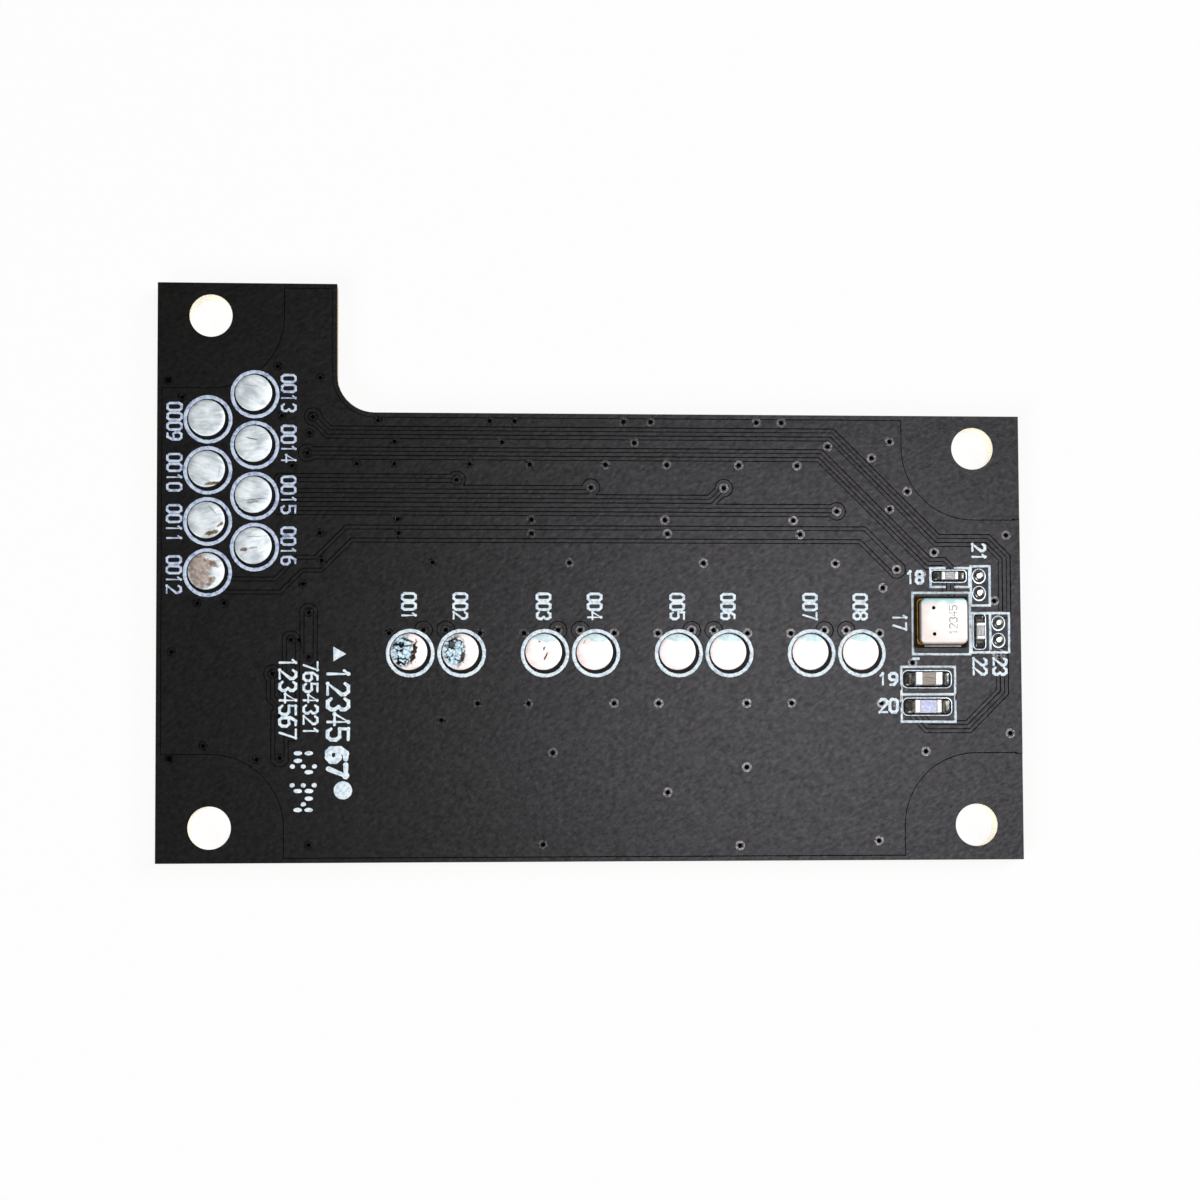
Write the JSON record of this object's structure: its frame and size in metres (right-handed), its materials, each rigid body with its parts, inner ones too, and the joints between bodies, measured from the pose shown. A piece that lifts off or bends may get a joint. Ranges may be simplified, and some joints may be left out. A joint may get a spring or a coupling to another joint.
{
  "type": "contact and sensor circuit board",
  "caption": "Small black L-shaped printed circuit board with round tinned contact pads, a canned sensor, chip capacitors and a chip resistor, for screw mounting.",
  "frame": {"origin": "centre of the board's outline box, on its underside", "axes": "+X along the board's long side, +Y towards the tab, +Z out of the component side"},
  "size_m": [0.051, 0.034, 0.0026],
  "materials": {
    "solder_mask": "matte black solder mask over glass laminate",
    "tinned_contact": "tinned copper, slightly uneven and scratched",
    "white_print": "white legend ink",
    "sensor_can_metal": "drawn nickel-plated can, satin",
    "sensor_base_laminate": "dark laminate base",
    "silicon_die": "polished silicon",
    "alumina": "white alumina",
    "resistor_glaze": "glassy lavender overcoat",
    "capacitor_ceramic": "grey-brown sintered ceramic",
    "chip_terminal": "tinned chip terminals",
    "solder": "bright reflowed solder"
  },
  "bodies": {
    "root": {"capacitor_1_body": "capacitor_ceramic", "capacitor_1_end_caps": "chip_terminal", "capacitor_1_solder": "solder", "capacitor_2_body": "capacitor_ceramic", "capacitor_2_end_caps": "chip_terminal", "capacitor_2_solder": "solder", "capacitor_3_body": "capacitor_ceramic", "capacitor_3_end_caps": "chip_terminal", "capacitor_3_solder": "solder", "circuit_board": "solder_mask", "contact_pad_01": "tinned_contact", "contact_pad_02": "tinned_contact", "contact_pad_03": "tinned_contact", "contact_pad_04": "tinned_contact", "contact_pad_05": "tinned_contact", "contact_pad_06": "tinned_contact", "contact_pad_07": "tinned_contact", "contact_pad_08": "tinned_contact", "contact_pad_09": "tinned_contact", "contact_pad_10": "tinned_contact", "contact_pad_11": "tinned_contact", "contact_pad_12": "tinned_contact", "contact_pad_13": "tinned_contact", "contact_pad_14": "tinned_contact", "contact_pad_15": "tinned_contact", "contact_pad_16": "tinned_contact", "empty_footprint_1_tin": "solder", "empty_footprint_2_tin": "solder", "pad_rings": "white_print", "part_outlines": "white_print", "resistor_1_body": "alumina", "resistor_1_end_caps": "chip_terminal", "resistor_1_overcoat": "resistor_glaze", "resistor_1_solder": "solder", "sensor_base": "sensor_base_laminate", "sensor_can": "sensor_can_metal", "sensor_die": "silicon_die", "sensor_solder": "solder"}
  },
  "joints": []
}
